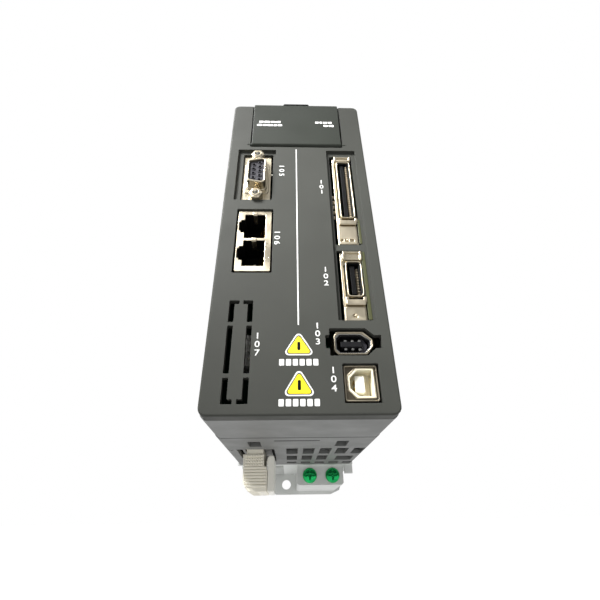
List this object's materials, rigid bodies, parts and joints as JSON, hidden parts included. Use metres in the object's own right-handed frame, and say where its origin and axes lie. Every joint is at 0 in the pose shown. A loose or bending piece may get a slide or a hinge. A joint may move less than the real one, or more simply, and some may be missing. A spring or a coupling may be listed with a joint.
{
  "type": "servo drive",
  "caption": "Upright panel-mounted servo drive with a row of front signal connectors, a hinged display cover, a finned heat sink with a fan and pluggable power terminals.",
  "frame": {"origin": "centre of the body on its rear mounting face", "axes": "+Z to the top end, -Y out of the front panel, +X to the right as seen from the front"},
  "size_m": [0.0674, 0.1733, 0.1928],
  "materials": {
    "cover_plastic": "fine matt moulded",
    "door_plastic": "fine matt moulded",
    "case_plastic": "fine matt moulded",
    "key_plastic": "satin",
    "aluminium": "die cast, satin",
    "green_screw": "green passivated",
    "steel": "zinc plated",
    "nickel": "nickel plated, satin",
    "brass_pins": "gold plated",
    "black_plastic": "glass filled",
    "grey_plastic": "moulded",
    "white_plastic": "moulded",
    "beige_plastic": "moulded",
    "board": "solder resist",
    "lens": "tinted",
    "lamp": "clear red",
    "component": "moulded",
    "winding": "taped",
    "thermal": "soft pad"
  },
  "bodies": {
    "drive": {"front_cover": "cover_plastic", "front_case": "case_plastic", "rear_case": "case_plastic", "heat_sink": "aluminium", "ground_screws": "green_screw", "case_screws": "steel", "fan_frame": "black_plastic", "fan_screws": "steel", "key_switches": "component", "display_board": "board", "display_module": "component", "display_lens": "lens", "charge_lamp": "lamp", "servo_io_shell": "nickel", "servo_io_insulator": "black_plastic", "encoder_shell": "nickel", "encoder_insulator": "black_plastic", "signal_contacts": "brass_pins", "fieldbus_shell": "nickel", "fieldbus_insulator": "black_plastic", "fieldbus_contacts": "brass_pins", "usb_shell": "nickel", "usb_insulator": "white_plastic", "usb_contacts": "brass_pins", "serial_shell": "nickel", "serial_insulator": "grey_plastic", "serial_jackscrews": "steel", "ethernet_shield": "nickel", "ethernet_housing": "black_plastic", "ethernet_contacts": "brass_pins", "expansion_header": "white_plastic", "control_board": "board", "control_chips": "component", "power_board": "board", "board_link": "component", "board_standoffs": "steel", "bus_capacitors": "component", "switching_transformer": "winding", "inrush_relay": "component", "filter_capacitor": "winding", "current_sensors": "component", "power_module": "component", "rectifier_bridge": "component", "thermal_pads": "thermal", "brake_resistor": "white_plastic", "motor_header": "grey_plastic", "mains_header": "grey_plastic", "brake_header": "grey_plastic", "power_pins": "brass_pins"},
    "display_cover": {"display_cover": "door_plastic"},
    "key_mode": {"key_mode": "key_plastic"},
    "key_up": {"key_up": "key_plastic"},
    "key_down": {"key_down": "key_plastic"},
    "key_shift": {"key_shift": "key_plastic"},
    "key_set": {"key_set": "key_plastic"},
    "fan_rotor": {"fan_rotor": "black_plastic"},
    "motor_plug": {"motor_plug": "beige_plastic"},
    "mains_plug": {"mains_plug": "beige_plastic"},
    "brake_plug": {"brake_plug": "beige_plastic"}
  },
  "joints": [
    {"name": "display_cover_hinge", "type": "hinge", "parent": "drive", "child": "display_cover", "pos_m": [0, -0.1694, 0.0479], "axis": [1, 0, 0], "range_deg": [0, 100]},
    {"name": "key_mode_press", "type": "slide", "parent": "drive", "child": "key_mode", "axis": [0, 1, 0], "range_m": [0, 0.0005], "stiffness_N_per_m": 200},
    {"name": "key_up_press", "type": "slide", "parent": "drive", "child": "key_up", "axis": [0, 1, 0], "range_m": [0, 0.0005], "stiffness_N_per_m": 200},
    {"name": "key_down_press", "type": "slide", "parent": "drive", "child": "key_down", "axis": [0, 1, 0], "range_m": [0, 0.0005], "stiffness_N_per_m": 200},
    {"name": "key_shift_press", "type": "slide", "parent": "drive", "child": "key_shift", "axis": [0, 1, 0], "range_m": [0, 0.0005], "stiffness_N_per_m": 200},
    {"name": "key_set_press", "type": "slide", "parent": "drive", "child": "key_set", "axis": [0, 1, 0], "range_m": [0, 0.0005], "stiffness_N_per_m": 200},
    {"name": "fan_spin", "type": "hinge", "parent": "drive", "child": "fan_rotor", "pos_m": [0, -0.028, 0.074], "axis": [0, 0, 1], "continuous": true},
    {"name": "motor_plug_pull", "type": "slide", "parent": "drive", "child": "motor_plug", "axis": [0, 0, -1], "range_m": [0, 0.03]},
    {"name": "mains_plug_pull", "type": "slide", "parent": "drive", "child": "mains_plug", "axis": [0, 0, 1], "range_m": [0, 0.03]},
    {"name": "brake_plug_pull", "type": "slide", "parent": "drive", "child": "brake_plug", "axis": [0, 0, 1], "range_m": [0, 0.03]}
  ]
}
